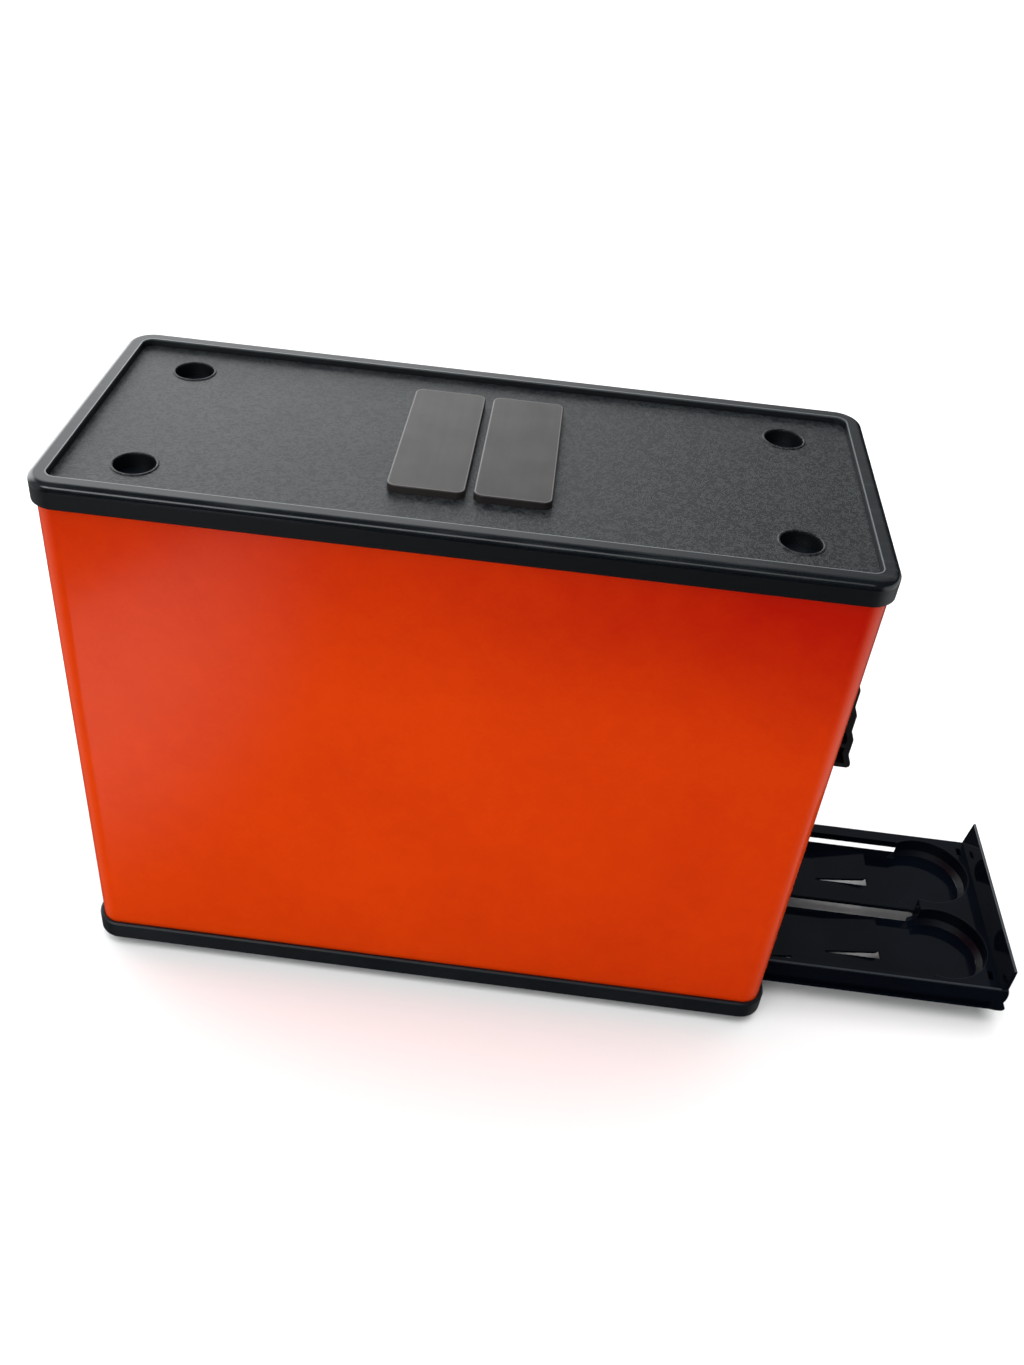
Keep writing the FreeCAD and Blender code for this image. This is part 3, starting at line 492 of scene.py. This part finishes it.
# Lid: a black moulding that caps the sleeve, with a skirt, a sunken panel and four sockets for the feet of
# the next stand, each with a thin raised edge. The panel has a fine leather-like grain, its rim is smoother.
lid_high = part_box("lid")[1]
rim_width = 6 * mm
rim_corner = 4 * mm
panel_depth = 2.8 * mm
panel_top = lid_high.z - panel_depth
socket_radius = 7.2 * mm
bead_width = 1 * mm
bead_height = 0.4 * mm
bead_overlap = 0.05 * mm
lid_dark = (0.0035, 0.005, 0.0068)
lid_pale = (0.0065, 0.0085, 0.0105)
grain_grey = (0.026, 0.029, 0.030)
streak_grey = (0.03, 0.034, 0.036)
# Darker tone for painted shade on the skirt.
painted_skirt_shade = (0.0018, 0.0030, 0.0048)
# Pale grey for a painted highlight line round the panel's edge.
edge_highlight_grey = (0.20, 0.22, 0.23)


def beyond_outline(x, y, half_x, half_y, corner):
    """Distance outside a rectangle with rounded corners, less than 0 inside it.

    With a and b the distances beyond the straight sides of the rectangle shrunk by the corner's radius, it is
    the length of their positive parts plus their greater where both are negative, less the radius.
    """
    a = abs(x) - (half_x - corner)
    b = abs(y) - (half_y - corner)
    outer = (a.most(0) ** 2 + b.most(0) ** 2) ** 0.5
    return outer + a.most(b).least(0) - corner


def lid_black():
    """Grained black on the panel, streaky on the rim, smoother round its edge; painted shade on the skirt."""
    f = new_finish("lid_grained_black")
    beyond = beyond_outline(f.x, f.y, lid_high.x - rim_width, lid_high.y - rim_width, rim_corner)
    on_top = f.z.step(panel_top - 1 * mm, panel_top - 0.1 * mm)
    panel = beyond.step(0, -0.25 * mm) * on_top
    # Painted highlight: a thin pale line round the panel's edge, where it meets the rim.
    edge_highlight = abs(beyond - 0.1 * mm).step(0.4 * mm, 0) * f.z.step(lid_high.z - 1 * mm, lid_high.z - 0.1 * mm)
    fillet = beyond.step(rim_width - 2.2 * mm, rim_width - 1.6 * mm)
    fillet = fillet * f.z.step(lid_high.z - 3.4 * mm, lid_high.z - 2.6 * mm)
    skirt = f.z.step(lid_high.z - 1.5 * mm, lid_high.z - 2.5 * mm) * (1 - panel)
    worms = abs(f.noise(2.3 * mm, 2, 1.0) - 0.5).step(0.10, 0.0)
    pits = f.noise(0.45 * mm, 2)
    grain = 0.75 * worms + 0.25 * pits
    streaks = f.noise(2.2 * mm, 3, 0, (0.06, 1, 1))
    plain = 0.7 * f.noise(0.5 * mm, 3) + 0.3 * streaks
    clouds = f.noise(38 * mm, 4)
    tone = f.mix(clouds.step(0.3, 0.75), lid_dark, lid_pale)
    tone = f.mix(panel * worms, tone, grain_grey)
    tone = f.mix((1 - panel) * (1 - skirt) * streaks.step(0.5, 0.8) * 0.5, tone, streak_grey)
    # Painted shade: the skirt is darker than the top.
    tone = f.mix(skirt, tone, painted_skirt_shade)
    tone = f.mix(edge_highlight * 0.8, tone, edge_highlight_grey)
    rough = 0.40 + 0.05 * clouds + panel * (0.04 + 0.06 * pits) + skirt * (1 - fillet) * 0.02
    rough = rough - edge_highlight * 0.12 - fillet * 0.26
    height = panel * grain * 3 + (1 - panel) * plain
    normal = f.bump(height, 0.014 * mm)
    return f.surface(base_color=tone, roughness=rough, normal=normal, specular_ior_level=0.6)


def bead_points(x, y):
    """Points of a thin rounded edge round a socket: an ellipse carried round a circle about (x, y).

    The ellipse stands on the panel's level, half sunk in it, with its inner side just inside the socket.
    """
    turn = np.linspace(0, 2 * np.pi, 17)[:, None]
    angle = np.linspace(0, 2 * np.pi, 72, endpoint=False)[None, :]
    radius = socket_radius - bead_overlap + 0.5 * bead_width * (1 - np.cos(turn))
    rise = panel_top + bead_height * np.sin(turn) + 0 * angle
    return np.stack([x + radius * np.cos(angle), y + radius * np.sin(angle), rise], axis=-1)


lid_finish = lid_black()
dress(lid_finish, "lid")
for number, name in enumerate(foot_names, 1):
    foot_low, foot_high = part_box(name)
    bead = bead_points((foot_low.x + foot_high.x) / 2, (foot_low.y + foot_high.y) / 2)
    bead_faces = ring_faces(bead.shape[0], bead.shape[1], 1)
    make_piece("lid_socket_edge_%d" % number, bead, bead_faces, lid_finish, "lid")

# Plates: two raised panels in the middle of the lid, bare here, that stand as high as the rim.
# They are moulded in a warmer, softly brushed black and bonded to the panel.
plate_half_x = 13.3 * mm
plate_half_y = 37 * mm
plate_corner = 3.2 * mm
plate_round = 0.5 * mm
plate_spacing = 29.4 * mm
plate_middle = (0.8 * mm, 1.5 * mm)
plate_sink = 0.05 * mm
plate_top_inset = 2.6 * mm
warm_dark = (0.013, 0.0105, 0.0100)
warm_pale = (0.024, 0.0195, 0.018)
plate_highlight_grey = (0.16, 0.15, 0.15)


def plate_points(middle_x, middle_y, low, high):
    """Points of a raised plate in a grid of steps up its side by steps round its outline.

    The outline is a rectangle with corner arcs, drawn in by `inset`. The inset is 0 up the wall, then follows
    a quarter circle of the edge's radius on to the top, and last steps in over the flat top.
    """
    turn = np.linspace(0, np.pi / 2, 9)
    rounded = plate_round * (1 - np.cos(turn))
    inset = np.concatenate([[0, 0], rounded, [plate_round + 0.3 * mm, plate_top_inset]])
    rise = np.concatenate([[low, high - plate_round], high - plate_round * (1 - np.sin(turn)), [high, high]])
    arc = np.linspace(0, np.pi / 2, 12)
    angle = np.concatenate([arc + quarter * np.pi / 2 for quarter in range(4)])
    sign_x = np.repeat([1, -1, -1, 1], arc.size)
    sign_y = np.repeat([1, 1, -1, -1], arc.size)
    radius = plate_corner - inset[:, None]
    x = middle_x + sign_x * (plate_half_x - plate_corner) + radius * np.cos(angle)
    y = middle_y + sign_y * (plate_half_y - plate_corner) + radius * np.sin(angle)
    return np.stack([x, y, np.broadcast_to(rise[:, None], x.shape)], axis=-1)


def plate_black():
    """Warm black, brushed across the lid, with a painted highlight line along each plate's edge."""
    f = new_finish("plate_warm_black")
    brushed = f.noise(1.6 * mm, 4, 0, (1, 0.05, 1))
    clouds = f.noise(14 * mm, 4)
    fine = f.noise(0.5 * mm, 3)
    from_middle = abs(f.x - plate_middle[0]) - plate_spacing / 2
    beyond = beyond_outline(from_middle, f.y - plate_middle[1], plate_half_x, plate_half_y, plate_corner)
    # Painted highlight: a pale line along each plate's edge.
    edge_highlight = abs(beyond + 0.45 * mm).step(0.35 * mm, 0)
    tone = f.mix(clouds.step(0.3, 0.7), warm_dark, warm_pale)
    tone = f.mix(edge_highlight * 0.7, tone, plate_highlight_grey)
    rough = 0.40 + 0.08 * brushed
    normal = f.bump(0.6 * brushed + 0.4 * fine, 0.02 * mm)
    return f.surface(base_color=tone, roughness=rough, normal=normal, specular_ior_level=0.6)


warm_black = plate_black()
for number, side in ((1, -1), (2, 1)):
    middle_x = plate_middle[0] + side * plate_spacing / 2
    plate = plate_points(middle_x, plate_middle[1], panel_top - plate_sink, lid_high.z)
    plate_faces = ring_faces(plate.shape[0], plate.shape[1], 1)
    make_piece("lid_plate_%d" % number, plate, plate_faces, warm_black, "lid")

# Studio: a plain pale floor in soft light from overhead. The polish mirrors a dim room instead: a window
# behind the stand on the left, a faint ceiling, a long card and a low glow in front, and pale side walls.
floor_reach = 6


def pale_floor():
    """Matt off-white, the same from every side."""
    f = new_finish("floor_pale_matt")
    tone = f.mix(f.noise(0.4, 3), (0.92, 0.92, 0.92), (0.94, 0.94, 0.94))
    return f.surface(base_color=tone, roughness=0.9, specular_ior_level=0.0)


floor_mesh = bpy.data.meshes.new("floor")
floor_ways = ((-1, -1), (1, -1), (1, 1), (-1, 1))
floor_corners = [(sx * floor_reach, sy * floor_reach, 0) for sx, sy in floor_ways]
floor_mesh.from_pydata(floor_corners, [], [(0, 1, 2, 3)])
floor_mesh.materials.append(pale_floor())
floor = bpy.data.objects.new("floor", floor_mesh)
bpy.context.scene.collection.objects.link(floor)
floor.visible_glossy = False


def soft_lamp(name, way, strength, spread):
    """A broad lamp far off in the direction `way`; it lights matt surfaces and isn't mirrored."""
    data = bpy.data.lights.new(name, "SUN")
    data.energy = strength
    data.angle = math.radians(spread)
    lamp = bpy.data.objects.new(name, data)
    lamp.rotation_euler = Vector(way).to_track_quat("Z", "Y").to_euler()
    lamp.visible_glossy = False
    bpy.context.scene.collection.objects.link(lamp)


soft_lamp("lamp_overhead", (-0.05, -0.02, 1.0), 3.2, 70)
soft_lamp("lamp_behind", (0.35, 0.75, 0.55), 0.3, 60)


def patch(f, way, start, full):
    """1 in the direction `way`, and 0 where the cosine of the angle from it is less than `start`."""
    x, y, z = Vector(way).normalized()
    return (f.x * x + f.y * y + f.z * z).step(start, full)


world = bpy.data.worlds.new("room")
bpy.context.scene.world = world
room = Finish(world, "Generated")
window = 3.0 * patch(room, (-0.57, 0.74, 0.36), 0.62, 0.98) * room.z.step(0.64, 0.50)
ceiling = 0.30 * room.y.step(0.1, 0.4) * room.z.step(0.35, 0.55)
card_height = room.z.step(0.30, 0.38) * room.z.step(0.68, 0.58)
card = 3.6 * card_height * room.y.step(-0.5, -0.65) * (0.6 - 1.5 * room.x).most(0)
slant = (room.z - 0.7 * room.x - 0.41 * room.y).step(0.0, -0.035)
low_glow = 1.5 * patch(room, (-0.37, -0.74, -0.55), 0.973, 0.999) * slant
side_walls = 0.35 * room.x.step(-0.6, -0.9) + 0.8 * room.x.step(0.6, 0.85) * room.z.step(0.2, 0)
seen = room.node("ShaderNodeLightPath", {}, {}).out("Is Camera Ray")
light = (0.03 + window + ceiling + card + low_glow + side_walls) * (1 - seen) + seen
glow = room.node("ShaderNodeBackground", {}, {"Color": (0.97, 0.99, 1.0), "Strength": light})
room.node("ShaderNodeOutputWorld", {}, {"Surface": glow})
bpy.context.scene.view_settings.view_transform = "Standard"

# Camera: hand-held above the near side, looking down on the lid with the drawer out to the right.
camera_data = bpy.data.cameras.new("camera")
camera_data.lens = 33.8
camera_data.sensor_width = 36
camera_data.shift_x = 0.0199
camera_data.shift_y = 0.0114
camera_data.clip_start = 0.01
camera = bpy.data.objects.new("camera", camera_data)
forward = np.array([-0.0314, 0.7768, -0.6289])
right = np.array([0.9921, 0.1006, 0.0748])
up = np.cross(right, forward)
camera_place = (0.0277, -0.4080, 0.4408)
turned = np.eye(4)
turned[:3, :] = np.stack([right, up, -forward, camera_place], axis=-1)
camera.matrix_world = Matrix(turned.tolist())
bpy.context.scene.collection.objects.link(camera)
bpy.context.scene.camera = camera
